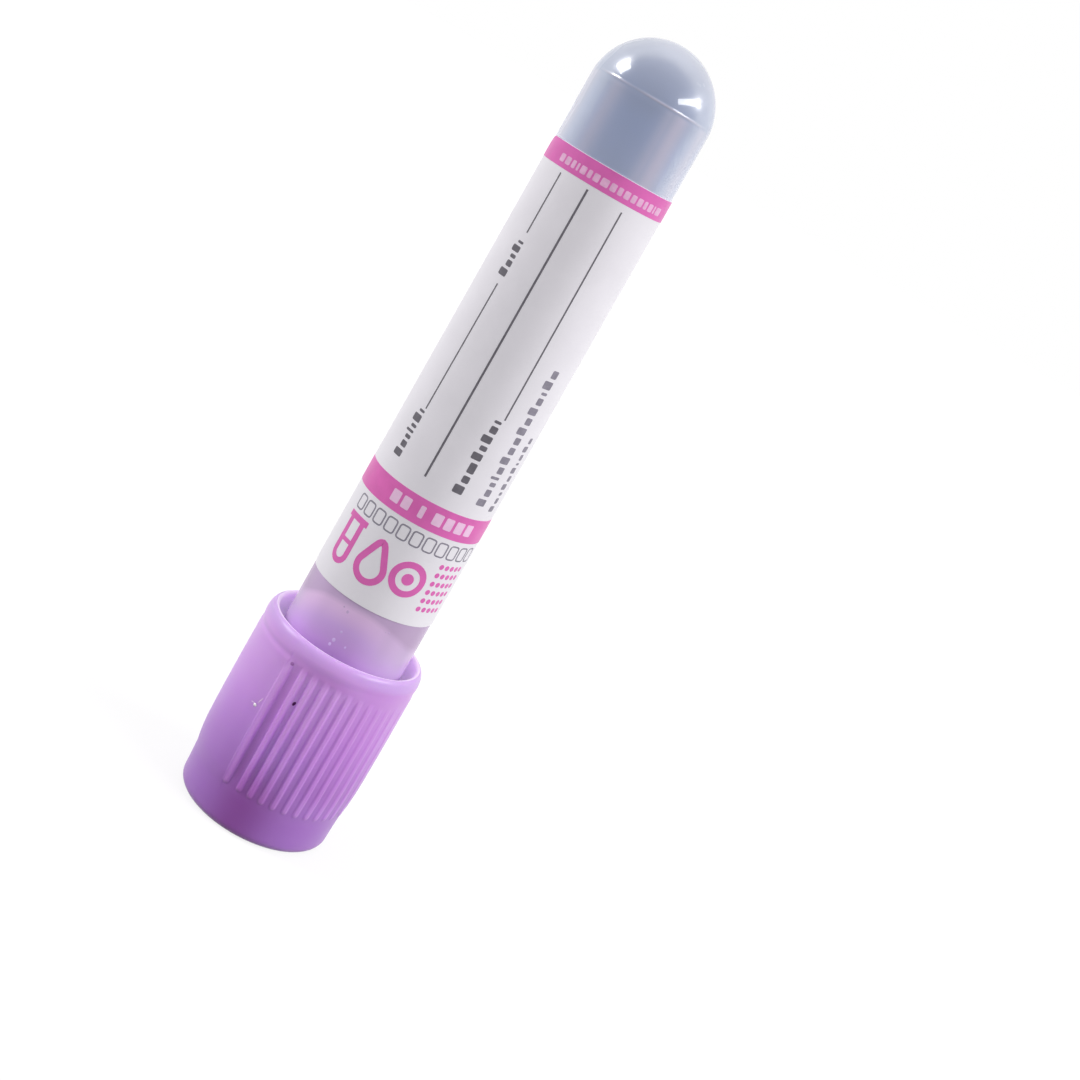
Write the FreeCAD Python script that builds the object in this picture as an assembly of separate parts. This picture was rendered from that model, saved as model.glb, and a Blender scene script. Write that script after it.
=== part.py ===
import FreeCAD, Part
import math
import os

from FreeCAD import Vector

# Evacuated blood collection tube, 13 x 75 mm, closed by a ribbed safety shield with a rubber stopper.
# Millimetres. The tube stands on the closed end of its shield: the origin is the centre of that face,
# +Z runs along the axis to the round end of the tube, and the printed side of the label faces -Y.
# Azimuths are counted from -Y towards +X. A section's points are (radius, height).

# ---- Tube -------------------------------------------------------------------------------------------
TUBE_LENGTH = 75.0          # from the mouth to the tip of the round end
TUBE_MOUTH_OD = 12.9        # outside diameter at the mouth
TUBE_DRAFT_DEG = 0.4        # taper of the wall towards the round end, each side
TUBE_WALL = 1.0             # side wall
TUBE_BASE_WALL = 1.2        # wall at the tip of the round end
CORE_LEDGE = 0.07           # ledge inside, where the core's round tip meets its shank
MOUTH_CHAMFER = 0.15        # on both edges of the mouth

# ---- Label ------------------------------------------------------------------------------------------
LABEL_HEIGHT = 45.8
LABEL_THICKNESS = 0.08
LABEL_ABOVE_MOUTH = 17.1    # from the tube's mouth to the label's nearer edge
LABEL_START_DEG = -80.0     # azimuth of the label's left edge
LABEL_WRAP_DEG = 280.0      # how far it goes round; the rest is a window for reading the level

# ---- Stopper ----------------------------------------------------------------------------------------
STOPPER_OVERHANG = 0.5      # how far the head stands out past the tube's mouth, radially
STOPPER_HEAD_HEIGHT = 7.4
STOPPER_HEAD_CHAMFER = 0.3
PLUG_LENGTH = 6.5           # from the tube's mouth to the plug's nose
PLUG_CLEARANCE = 0.05       # between the sealing rings and the tube's bore at the nose, radially
PLUG_RING_HEIGHT = 1.5      # each of the two sealing rings
PLUG_RELIEF = 0.35          # depth of the relief between the rings, and the height of its slopes
PLUG_NOSE_HEIGHT = 1.0      # tapered lead into the tube
PLUG_NOSE_TAPER = 0.4       # how far the nose draws in, radially
PLUG_CAVITY_RADIUS = 3.0    # hollow in the plug's nose
PLUG_CAVITY_DEPTH = 4.5
NEEDLE_WELL_RADIUS = 3.6    # well that leads the needle to the rubber, through the shield's end wall
NEEDLE_WELL_DEPTH = 6.0     # from the shield's closed end to the well's floor

# ---- Shield -----------------------------------------------------------------------------------------
SHIELD_HEIGHT = 20.8
SHIELD_WALL = 0.9
SHIELD_END_WALL = 1.6
SKIRT_GAP = 0.95            # between the skirt and the tube's mouth, radially
SOCKET_CLEARANCE = 0.05     # between the stopper's head and its socket, radially
BEAD_HEIGHT = 0.3           # how far the snap bead stands in from the socket's wall
BEAD_LAND = 0.3             # the bead's flat
BEAD_CLEARANCE = 0.05       # between the bead and the head's chamfer, along the axis
END_EDGE_RADIUS = 0.95      # rounding of the closed end
END_BAND_HEIGHT = 3.9       # plain band round the closed end
END_BAND_FLARE = 0.09       # how much wider the band is at its top, radially
PANEL_SLOPE_HEIGHT = 2.1    # slope from the end band out to the ribbed panel
PANEL_RISE = 0.05           # how far the panel stands out past the collar, radially
COLLAR_HEIGHT = 2.37        # plain collar round the open rim
COLLAR_LINE_DEPTH = 0.09    # shallow line between panel and collar
COLLAR_LINE_WIDTH = 0.7
RIM_INNER_CHAMFER = 0.25
RIM_OUTER_CHAMFER = 0.35
RIM_SLOPE_HEIGHT = 0.7      # slope from the collar in to the outer chamfer
RIM_SLOPE_INSET = 0.15      # how far that slope draws in, radially

# ---- Finger ribs: groups of fine ribs between two edge ribs, with smooth panels between the groups --
RIB_GROUPS = 2
FINE_RIBS = 10              # in each group
RIB_PITCH_DEG = 8.65
EDGE_RIB_PITCH_DEG = 14.0   # from an edge rib to the first fine rib
GROUP_CENTRE_DEG = 28.8     # azimuth of the middle of the first group
FINE_RIB_CREST = 0.42
EDGE_RIB_CREST = 0.62
GROOVE_DEPTH = 0.36         # below the panel
GROOVE_RUN_OUT = 0.5        # length of the slope at each end of a groove
GROOVE_FOOT = 4.1           # height at which the grooves' lower slopes would reach the panel's surface
GROOVE_TOP_MARGIN = 0.1     # from the grooves' upper ends to the collar's line

# ---- Worked out from the sizes above ----------------------------------------------------------------
draft = math.radians(TUBE_DRAFT_DEG)
mouth_r = TUBE_MOUTH_OD / 2
mouth_z = SHIELD_END_WALL + STOPPER_HEAD_HEIGHT
tip_z = mouth_z + TUBE_LENGTH
label_low_z = mouth_z + LABEL_ABOVE_MOUTH
label_high_z = label_low_z + LABEL_HEIGHT
head_r = mouth_r + STOPPER_OVERHANG
socket_r = head_r + SOCKET_CLEARANCE
skirt_bore_r = mouth_r + SKIRT_GAP
skirt_r = skirt_bore_r + SHIELD_WALL
panel_r = skirt_r + PANEL_RISE
end_r = socket_r + SHIELD_WALL
band_top_r = end_r + END_BAND_FLARE
panel_high_z = SHIELD_HEIGHT - COLLAR_HEIGHT


# ---- Sections ---------------------------------------------------------------------------------------
def point(radius, height):
    return Vector(radius, 0, height)


def line(start, end):
    return Part.LineSegment(point(*start), point(*end)).toShape()


def lines(*points):
    return [line(start, end) for start, end in zip(points, points[1:])]


def arc(start, middle, end):
    return Part.Arc(point(*start), point(*middle), point(*end)).toShape()


def quarter(start, corner, end):
    """Quarter circle that rounds off a square corner."""
    share = 1 - math.sqrt(0.5)
    middle = [c + share * (s + e - 2 * c) for s, c, e in zip(start, corner, end)]
    return arc(start, middle, end)


def turned(edges):
    """Solid swept by a section once round the Z axis."""
    section = Part.Face(Part.Wire(edges))
    return section.revolve(Vector(0, 0, 0), Vector(0, 0, 1), 360)


def drafted_bar(low, high):
    """Round bar whose side tapers evenly between two (radius, height) points."""
    rings = []
    for radius, height in (low, high):
        circle = Part.Circle(Vector(0, 0, height), Vector(0, 0, 1), radius)
        rings.append(Part.Wire(circle.toBSpline().toShape()))
    return Part.makeLoft(rings, True, True)


def around(azimuth_deg, radius, height):
    azimuth = math.radians(azimuth_deg)
    return Vector(radius * math.sin(azimuth), -radius * math.cos(azimuth), height)


# ---- Tube -------------------------------------------------------------------------------------------
def tube_outer_r(height):
    return mouth_r - math.tan(draft) * (height - mouth_z)


def tube_bore_r(height):
    return tube_outer_r(height) - TUBE_WALL


def round_end(wall_r_at_mouth, tip):
    """Round end tangent to a tapered wall, and the (radius, height) where the two meet."""
    length = tip - mouth_z
    radius = (wall_r_at_mouth * math.cos(draft) - length * math.sin(draft)) / (1 - math.sin(draft))
    centre = tip - radius
    start = (radius * math.cos(draft), centre + radius * math.sin(draft))
    halfway = (draft + math.pi / 2) / 2
    middle = (radius * math.cos(halfway), centre + radius * math.sin(halfway))
    end = (0, tip)
    base = (0, start[1])
    return turned([line(base, start), arc(start, middle, end), line(end, base)]), start


def make_tube():
    """Clear tube, moulded in one: a tapered wall with a tangent round end, open at the mouth."""
    chamfer_z = mouth_z + MOUTH_CHAMFER
    bore_mouth_r = mouth_r - TUBE_WALL
    mouth = Vector(0, 0, mouth_z)
    outer_end, outer_meet = round_end(mouth_r, tip_z)
    outside = Part.makeCone(mouth_r - MOUTH_CHAMFER, tube_outer_r(chamfer_z), MOUTH_CHAMFER, mouth)
    outside = outside.fuse([drafted_bar((tube_outer_r(chamfer_z), chamfer_z), outer_meet), outer_end])
    core_end, core_meet = round_end(bore_mouth_r - CORE_LEDGE, tip_z - TUBE_BASE_WALL)
    ledge = (tube_bore_r(core_meet[1]), core_meet[1])
    core = Part.makeCone(bore_mouth_r + MOUTH_CHAMFER, tube_bore_r(chamfer_z), MOUTH_CHAMFER, mouth)
    core = core.fuse([drafted_bar((tube_bore_r(chamfer_z), chamfer_z), ledge), core_end])
    return outside.cut(core)


def make_label():
    """Printed film wrapped round the tube, with a window at the back."""
    low_r = tube_outer_r(label_low_z)
    high_r = tube_outer_r(label_high_z)
    face_low = (low_r + LABEL_THICKNESS, label_low_z)
    face_high = (high_r + LABEL_THICKNESS, label_high_z)
    sleeve = drafted_bar(face_low, face_high)
    sleeve = sleeve.cut(drafted_bar((low_r, label_low_z), (high_r, label_high_z)))
    # the window's sector is swept from +X, where the azimuth is 90 degrees
    up_axis = Vector(0, 0, 1)
    window_deg = 360 - LABEL_WRAP_DEG
    window = Part.makeCylinder(2 * low_r, LABEL_HEIGHT, Vector(0, 0, label_low_z), up_axis, window_deg)
    window.rotate(Vector(0, 0, 0), up_axis, LABEL_START_DEG - window_deg - 90)
    return sleeve.cut(window)


# ---- Closure ----------------------------------------------------------------------------------------
def make_stopper():
    """Rubber stopper: a head that the shield holds, and a hollow plug with two sealing rings."""
    nose_z = mouth_z + PLUG_LENGTH
    upper_ring_z = nose_z - PLUG_NOSE_HEIGHT
    lower_ring_z = mouth_z + PLUG_RING_HEIGHT
    floor_z = nose_z - PLUG_CAVITY_DEPTH
    ring_r = tube_bore_r(nose_z) - PLUG_CLEARANCE
    relief_r = ring_r - PLUG_RELIEF
    return turned(lines(
        (0, floor_z),
        (0, NEEDLE_WELL_DEPTH),
        (NEEDLE_WELL_RADIUS, NEEDLE_WELL_DEPTH),
        (NEEDLE_WELL_RADIUS, SHIELD_END_WALL),
        (head_r, SHIELD_END_WALL),
        (head_r, mouth_z - STOPPER_HEAD_CHAMFER),
        (head_r - STOPPER_HEAD_CHAMFER, mouth_z),
        (ring_r, mouth_z),
        (ring_r, lower_ring_z),
        (relief_r, lower_ring_z + PLUG_RELIEF),
        (relief_r, upper_ring_z - PLUG_RING_HEIGHT - PLUG_RELIEF),
        (ring_r, upper_ring_z - PLUG_RING_HEIGHT),
        (ring_r, upper_ring_z),
        (ring_r - PLUG_NOSE_TAPER, nose_z),
        (PLUG_CAVITY_RADIUS, nose_z),
        (PLUG_CAVITY_RADIUS, floor_z),
        (0, floor_z),
    ))


def shield_blank():
    """The shield before its grooves: end wall with the needle's hole, socket, bead and skirt."""
    end_face = (end_r - END_EDGE_RADIUS, 0)
    end_side = (end_r, END_EDGE_RADIUS)
    rim_side_r = skirt_r - RIM_SLOPE_INSET
    rim_side_z = SHIELD_HEIGHT - RIM_OUTER_CHAMFER
    bead_r = socket_r - BEAD_HEIGHT
    bead_low_z = mouth_z - STOPPER_HEAD_CHAMFER + BEAD_HEIGHT + BEAD_CLEARANCE
    bead_high_z = bead_low_z + BEAD_LAND
    rounded_end = [line((NEEDLE_WELL_RADIUS, 0), end_face), quarter(end_face, (end_r, 0), end_side)]
    return turned(rounded_end + lines(
        end_side,
        (band_top_r, END_BAND_HEIGHT),
        (panel_r, END_BAND_HEIGHT + PANEL_SLOPE_HEIGHT),
        (panel_r, panel_high_z),
        (skirt_r - COLLAR_LINE_DEPTH, panel_high_z + COLLAR_LINE_WIDTH / 2),
        (skirt_r, panel_high_z + COLLAR_LINE_WIDTH),
        (skirt_r, rim_side_z - RIM_SLOPE_HEIGHT),
        (rim_side_r, rim_side_z),
        (rim_side_r - RIM_OUTER_CHAMFER, SHIELD_HEIGHT),
        (skirt_bore_r + RIM_INNER_CHAMFER, SHIELD_HEIGHT),
        (skirt_bore_r, SHIELD_HEIGHT - RIM_INNER_CHAMFER),
        (skirt_bore_r, bead_high_z + skirt_bore_r - bead_r),
        (bead_r, bead_high_z),
        (bead_r, bead_low_z),
        (socket_r, bead_low_z - BEAD_HEIGHT),
        (socket_r, SHIELD_END_WALL),
        (NEEDLE_WELL_RADIUS, SHIELD_END_WALL),
        (NEEDLE_WELL_RADIUS, 0),
    ))


def group_ribs():
    """Azimuth from the group's middle and crest width of each rib in a group, in order."""
    half_span = RIB_PITCH_DEG * (FINE_RIBS - 1) / 2
    edge = half_span + EDGE_RIB_PITCH_DEG
    fine = [(RIB_PITCH_DEG * i - half_span, FINE_RIB_CREST) for i in range(FINE_RIBS)]
    return [(-edge, EDGE_RIB_CREST)] + fine + [(edge, EDGE_RIB_CREST)]


def groove_bar(azimuth_deg, width):
    """Upright round bar whose chord at the panel's surface is the groove's width."""
    bar_r = (width ** 2 / 4 + GROOVE_DEPTH ** 2) / (2 * GROOVE_DEPTH)
    foot = around(azimuth_deg, panel_r - GROOVE_DEPTH + bar_r, 0)
    bar = Part.makeCylinder(bar_r, SHIELD_HEIGHT, foot)
    # the bar's seam is turned outwards, clear of the shield
    bar.rotate(foot, Vector(0, 0, 1), azimuth_deg - 90)
    return bar


def groove_limits():
    """Ring that holds the grooves; its slanted ends let their floors slope out to the surface."""
    top = panel_high_z - GROOVE_TOP_MARGIN
    inner_r = panel_r - 2 * GROOVE_DEPTH
    outer_r = panel_r + GROOVE_DEPTH
    return turned(lines(
        (inner_r, GROOVE_FOOT + 2 * GROOVE_RUN_OUT),
        (outer_r, GROOVE_FOOT - GROOVE_RUN_OUT),
        (outer_r, top + GROOVE_RUN_OUT),
        (inner_r, top - 2 * GROOVE_RUN_OUT),
        (inner_r, GROOVE_FOOT + 2 * GROOVE_RUN_OUT),
    ))


def make_shield():
    """Ribbed safety shield: grooves are cut between neighbouring ribs of each group."""
    arc_mm = math.radians(1) * panel_r
    limits = groove_limits()
    cutters = []
    for group in range(RIB_GROUPS):
        middle = GROUP_CENTRE_DEG + 360 / RIB_GROUPS * group
        ribs = group_ribs()
        for (left, left_crest), (right, right_crest) in zip(ribs, ribs[1:]):
            start = left + left_crest / 2 / arc_mm
            end = right - right_crest / 2 / arc_mm
            bar = groove_bar(middle + (start + end) / 2, (end - start) * arc_mm)
            cutters.append(bar.common(limits))
    return shield_blank().cut(cutters)


# ---- Output -----------------------------------------------------------------------------------------
pieces = {
    "tube": make_tube(),
    "label": make_label(),
    "stopper": make_stopper(),
    "cap_shield": make_shield(),
}

os.makedirs("parts", exist_ok=True)
for name, shape in pieces.items():
    shape.exportStep("parts/" + name + ".step")
    print(name, "valid", shape.isValid(), "solids", len(shape.Solids), "volume mm3", round(shape.Volume, 2))
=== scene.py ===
import math

import bpy
import numpy as np
from mathutils import Matrix, Vector


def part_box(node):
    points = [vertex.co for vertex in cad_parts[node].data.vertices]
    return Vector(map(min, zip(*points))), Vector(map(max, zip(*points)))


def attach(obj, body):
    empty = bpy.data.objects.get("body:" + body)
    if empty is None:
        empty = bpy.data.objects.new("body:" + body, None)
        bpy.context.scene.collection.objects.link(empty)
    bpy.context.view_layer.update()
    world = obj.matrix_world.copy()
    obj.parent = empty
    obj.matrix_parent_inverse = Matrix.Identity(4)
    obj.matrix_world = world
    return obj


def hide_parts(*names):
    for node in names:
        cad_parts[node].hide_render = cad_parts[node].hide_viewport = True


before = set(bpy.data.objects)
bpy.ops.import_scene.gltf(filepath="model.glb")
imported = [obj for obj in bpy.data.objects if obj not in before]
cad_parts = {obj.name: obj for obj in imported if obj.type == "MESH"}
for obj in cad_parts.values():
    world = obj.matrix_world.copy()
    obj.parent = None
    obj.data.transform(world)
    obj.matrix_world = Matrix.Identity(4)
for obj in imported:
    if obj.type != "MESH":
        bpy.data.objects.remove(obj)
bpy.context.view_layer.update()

# Lengths are in millimetres until a mesh is made. Azimuths are in degrees from -Y towards +X, as in
# the CAD model. A section's corner is (radius, height, rounding).
MM = 0.001


# ---- Sizes, from the frame ---------------------------------------------------------------------------
def node_mm(node):
    low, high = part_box(node)
    return low / MM, high / MM


tube_low, tube_high = node_mm("tube")
label_low, label_high = node_mm("label")
shield_high = node_mm("cap_shield")[1]
stopper_low, stopper_high = node_mm("stopper")

MOUTH_Z = tube_low.z
TIP_Z = tube_high.z
LABEL_Z = label_low.z
LABEL_TOP_Z = label_high.z
RIM_Z = shield_high.z
PANEL_R = shield_high.x
NOSE_Z = stopper_high.z
END_WALL = stopper_low.z
HEAD_R = stopper_high.x

# ---- Sizes that the boxes don't give, as in the CAD model --------------------------------------------
MOUTH_R = 6.45
DRAFT = math.radians(0.4)
TUBE_WALL = 1.0
BASE_WALL = 1.2
CORE_LEDGE = 0.07
FILM = 0.08
LABEL_START, LABEL_END = -80.0, 200.0
WELL_R, WELL_TOP_Z = 3.6, 6.0
SOCKET_CLEARANCE = 0.05


def tube_r(height):
    return MOUTH_R - math.tan(DRAFT) * (height - MOUTH_Z)


# ---- Sections ----------------------------------------------------------------------------------------
def rounded_path(corners, closed, steps=6):
    """Points of an outline whose corners (x, y, rounding) are turned into arcs."""
    count = len(corners)
    path = []
    for i, (x, y, radius) in enumerate(corners):
        at_end = not closed and i in (0, count - 1)
        here = np.array((x, y), float)
        if at_end or radius <= 0:
            path.append(tuple(here))
            continue
        before = np.array(corners[i - 1][:2], float) - here
        after = np.array(corners[(i + 1) % count][:2], float) - here
        before_length, after_length = np.linalg.norm(before), np.linalg.norm(after)
        before, after = before / before_length, after / after_length
        half = math.acos(np.clip(np.dot(before, after), -1, 1)) / 2
        reach = min(radius / math.tan(half), 0.49 * before_length, 0.49 * after_length)
        # a quadratic Bezier between the two tangent points is close enough to an arc at these sizes
        for t in np.linspace(0, 1, steps + 1):
            path.append(tuple(here + before * reach * (1 - t) ** 2 + after * reach * t ** 2))
    return path


def arc(centre, radius, start_deg, end_deg, steps):
    angles = np.radians(np.linspace(start_deg, end_deg, steps + 1))
    return [(centre[0] + radius[0] * math.cos(a), centre[1] + radius[1] * math.sin(a)) for a in angles]


def densify(path, step, closed):
    """The same outline with no stretch longer than step."""
    ends = path[1:] + path[:1] if closed else path[1:]
    dense = []
    for start, end in zip(path, ends):
        parts = max(1, math.ceil(math.dist(start, end) / step))
        dense += [tuple(np.array(start) + (np.array(end) - start) * k / parts) for k in range(parts)]
    return dense if closed else dense + [path[-1]]


def on_ring(azimuth_deg, radius, height):
    a = np.radians(azimuth_deg)
    return np.stack(np.broadcast_arrays(radius * np.sin(a), -radius * np.cos(a), height), -1)


def rise(x, start, end):
    """0 at start, 1 at end and eased between; it stays level beyond both, and end may be the lower."""
    share = np.clip((x - start) / (end - start), 0, 1)
    return share * share * (3 - 2 * share)


def turn_from(azimuths, middle):
    """Signed angle from a middle azimuth."""
    return (azimuths - middle + 180) % 360 - 180


# ---- Meshes ------------------------------------------------------------------------------------------
# Edges that turn by more than this are drawn sharp.
SHARP_DEG = 40


def make_piece(name, points_mm, faces, body, slot, material):
    mesh = bpy.data.meshes.new(name)
    mesh.from_pydata((np.asarray(points_mm) * MM).tolist(), [], faces)
    mesh.validate()
    mesh.shade_smooth()
    mesh.set_sharp_from_angle(angle=math.radians(SHARP_DEG))
    mesh.materials.append(material)
    piece = bpy.data.objects.new(name, mesh)
    bpy.context.scene.collection.objects.link(piece)
    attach(piece, body)
    return piece


def store(piece, name, values):
    """Value at every point of a piece's mesh, which its material reads."""
    attribute = piece.data.attributes.new(name, "FLOAT", "POINT")
    attribute.data.foreach_set("value", np.asarray(values, np.float32).ravel())


def grid_faces(rows, columns, wrap_rows, wrap_columns, start=0):
    """Quads of a grid whose point (i, j) has index start + i * columns + j."""
    i = np.arange(rows if wrap_rows else rows - 1)
    j = np.arange(columns if wrap_columns else columns - 1)
    i, j = np.meshgrid(i, j, indexing="ij")
    i2, j2 = (i + 1) % rows, (j + 1) % columns
    quads = np.stack([i * columns + j, i2 * columns + j, i2 * columns + j2, i * columns + j2], -1)
    return (quads.reshape(-1, 4) + start).tolist()


def turned(section, azimuths):
    """Points of a section at each azimuth."""
    section = np.array(section)
    a, r = np.meshgrid(azimuths, section[:, 0], indexing="ij")
    z = np.meshgrid(azimuths, section[:, 1], indexing="ij")[1]
    return on_ring(a, r, z).reshape(-1, 3)


def lathe_to_axis(section, azimuths):
    """Closed surface of a section whose first and last points lie on the axis."""
    section = np.array(section)
    inner = section[1:-1]
    points = turned(inner, azimuths)
    rows, columns = len(azimuths), len(inner)
    faces = grid_faces(rows, columns, True, False)
    poles = np.array([(0, 0, section[0, 1]), (0, 0, section[-1, 1])])
    first, last = len(points), len(points) + 1
    for i in range(rows):
        nxt = (i + 1) % rows
        faces.append((first, nxt * columns, i * columns))
        faces.append((last, i * columns + columns - 1, nxt * columns + columns - 1))
    return np.vstack([points, poles]), faces


def slab(outer, inner, wrap=False):
    """Closed thin solid between two grids of points (rows, columns, 3); wrap joins last row to first."""
    rows, columns = outer.shape[:2]
    count = rows * columns
    points = np.vstack([outer.reshape(-1, 3), inner.reshape(-1, 3)])
    faces = grid_faces(rows, columns, wrap, False)
    faces += [tuple(reversed(face)) for face in grid_faces(rows, columns, wrap, False, count)]
    sides = [[i * columns for i in range(rows)], [i * columns + columns - 1 for i in range(rows)][::-1]]
    if not wrap:
        across = [(rows - 1) * columns + j for j in range(1, columns - 1)]
        sides = [sides[0] + across + sides[1] + list(range(columns - 2, 0, -1))]
    for side in sides:
        for here, there in zip(side, side[1:] + side[:1]):
            faces.append((here, count + here, count + there, there))
    return points, faces


def joined(parts):
    points, faces, start = [], [], 0
    for part_points, part_faces in parts:
        points.append(part_points)
        faces += [tuple(index + start for index in face) for face in part_faces]
        start += len(part_points)
    return np.vstack(points), faces


# ---- Materials ---------------------------------------------------------------------------------------
def node_material(name):
    material = bpy.data.materials.new(name)
    material.use_nodes = True
    nodes, links = material.node_tree.nodes, material.node_tree.links
    return material, nodes, links, nodes["Principled BSDF"]


def noise(nodes, links, scale, detail=3.0, stretch=(1, 1, 1)):
    """Noise in object space; scale is in cells per millimetre."""
    where = nodes.new("ShaderNodeTexCoord")
    place = nodes.new("ShaderNodeMapping")
    place.inputs["Scale"].default_value = stretch
    texture = nodes.new("ShaderNodeTexNoise")
    texture.inputs["Scale"].default_value = scale / MM
    texture.inputs["Detail"].default_value = detail
    links.new(where.outputs["Object"], place.inputs["Vector"])
    links.new(place.outputs["Vector"], texture.inputs["Vector"])
    return texture.outputs["Fac"]


def ramp(nodes, links, factor, stops):
    """Colour ramp over a factor; stops are (position, colour)."""
    node = nodes.new("ShaderNodeValToRGB")
    elements = node.color_ramp.elements
    while len(elements) < len(stops):
        elements.new(0.5)
    for element, (position, colour) in zip(elements, stops):
        element.position = position
        element.color = (*colour, 1)
    links.new(factor, node.inputs["Fac"])
    return node.outputs["Color"]


def map_range(nodes, links, value, low, high, to_low, to_high):
    node = nodes.new("ShaderNodeMapRange")
    for socket, number in zip(("From Min", "From Max", "To Min", "To Max"), (low, high, to_low, to_high)):
        node.inputs[socket].default_value = number
    links.new(value, node.inputs["Value"])
    return node.outputs["Result"]


def combine(nodes, links, operation, first, second):
    node = nodes.new("ShaderNodeMath")
    node.operation = operation
    links.new(first, node.inputs[0])
    links.new(second, node.inputs[1])
    return node.outputs["Value"]


def stored_value(nodes, name):
    """What store() put on the mesh under a name."""
    node = nodes.new("ShaderNodeAttribute")
    node.attribute_name = name
    return node.outputs["Fac"]


def blend_by(nodes, links, name, low, high):
    """Mix of two colours by a value stored on the mesh."""
    mix = nodes.new("ShaderNodeMix")
    mix.data_type = "RGBA"
    links.new(stored_value(nodes, name), mix.inputs["Factor"])
    links.new(low, mix.inputs["A"])
    links.new(high, mix.inputs["B"])
    return mix.outputs["Result"]


def bump(nodes, links, height, shader, strength, distance_mm):
    node = nodes.new("ShaderNodeBump")
    node.inputs["Strength"].default_value = strength
    node.inputs["Distance"].default_value = distance_mm * MM
    links.new(height, node.inputs["Height"])
    links.new(node.outputs["Normal"], shader.inputs["Normal"])


def shade(colour, factor):
    return tuple(min(1.0, c * factor) for c in colour)


def surface_material(name, colour, roughness, variation, grain):
    """Plain moulded or printed surface: slight colour mottling, uneven gloss and fine bump."""
    material, nodes, links, shader = node_material(name)
    stops = [(0.35, shade(colour, 1 - variation)), (0.65, shade(colour, 1 + variation))]
    links.new(ramp(nodes, links, noise(nodes, links, grain), stops), shader.inputs["Base Color"])
    unevenness = 0.06
    gloss = noise(nodes, links, grain * 2)
    gloss = map_range(nodes, links, gloss, 0.0, 1.0, roughness - unevenness, roughness + unevenness)
    links.new(gloss, shader.inputs["Roughness"])
    bump(nodes, links, noise(nodes, links, grain * 6), shader, strength=0.4, distance_mm=0.004)
    return material


def along_tube(nodes, links, top_mm, wander, offset=None):
    """0 at the closed end of the shield to 1 at a given height, made slightly uneven by wander.

    offset names a value stored on the mesh that is added to it.
    """
    where = nodes.new("ShaderNodeTexCoord")
    split = nodes.new("ShaderNodeSeparateXYZ")
    links.new(where.outputs["Object"], split.inputs["Vector"])
    height = map_range(nodes, links, split.outputs["Z"], 0.0, top_mm * MM, 0.0, 1.0)
    uneven = nodes.new("ShaderNodeMath")
    uneven.operation = "MULTIPLY_ADD"
    links.new(noise(nodes, links, 0.12, detail=1.0), uneven.inputs[0])
    uneven.inputs[1].default_value = wander
    links.new(height, uneven.inputs[2])
    if offset is None:
        return uneven.outputs["Value"]
    return combine(nodes, links, "ADD", uneven.outputs["Value"], stored_value(nodes, offset))


def clear_plastic(name):
    """Slightly hazy clear moulding with painted light and shade in its tints: lavender near the shield for
    the shield seen and bounced through it, and blue-grey beyond for a darker surround seen through it.
    """
    material, nodes, links, shader = node_material(name)
    facing_low, facing_high = 0.05, 0.45
    neck_share, dome_share = 0.36, 0.60
    height = along_tube(nodes, links, TIP_Z, wander=0.02, offset="sag")
    # The base tints carry painted light and shade; the second tints carry the streaks, a painted highlight
    # on the ledge line and painted shade on the neck's sides.
    body = ramp(nodes, links, height, TUBE_TINTS_AND_PAINTED_LIGHT)
    streaks_and_painted_light = ramp(nodes, links, height, STREAK_TINTS_AND_PAINTED_LIGHT)
    links.new(blend_by(nodes, links, "streaks_and_painted_light", body, streaks_and_painted_light), shader.inputs["Base Color"])
    facing = nodes.new("ShaderNodeLayerWeight").outputs["Facing"]
    in_dome = map_range(nodes, links, facing, facing_low, facing_high, *DOME_CLARITY)
    beyond_neck = map_range(nodes, links, height, neck_share, dome_share, 0.0, 1.0)
    clarity = nodes.new("ShaderNodeMix")
    links.new(beyond_neck, clarity.inputs["Factor"])
    clarity.inputs["A"].default_value = NECK_CLARITY
    links.new(in_dome, clarity.inputs["B"])
    links.new(clarity.outputs["Result"], shader.inputs["Transmission Weight"])
    shader.inputs["IOR"].default_value = 1.35
    shader.inputs["Specular IOR Level"].default_value = 0.1
    links.new(map_range(nodes, links, beyond_neck, 0.0, 1.0, *TUBE_COAT), shader.inputs["Coat Weight"])
    shader.inputs["Coat Roughness"].default_value = 0.04
    streaks = noise(nodes, links, 0.25, stretch=(1, 1, 0.15))
    links.new(map_range(nodes, links, streaks, 0.0, 1.0, *HAZE), shader.inputs["Roughness"])
    bump(nodes, links, streaks, shader, strength=0.15, distance_mm=0.05)
    return material


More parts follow.
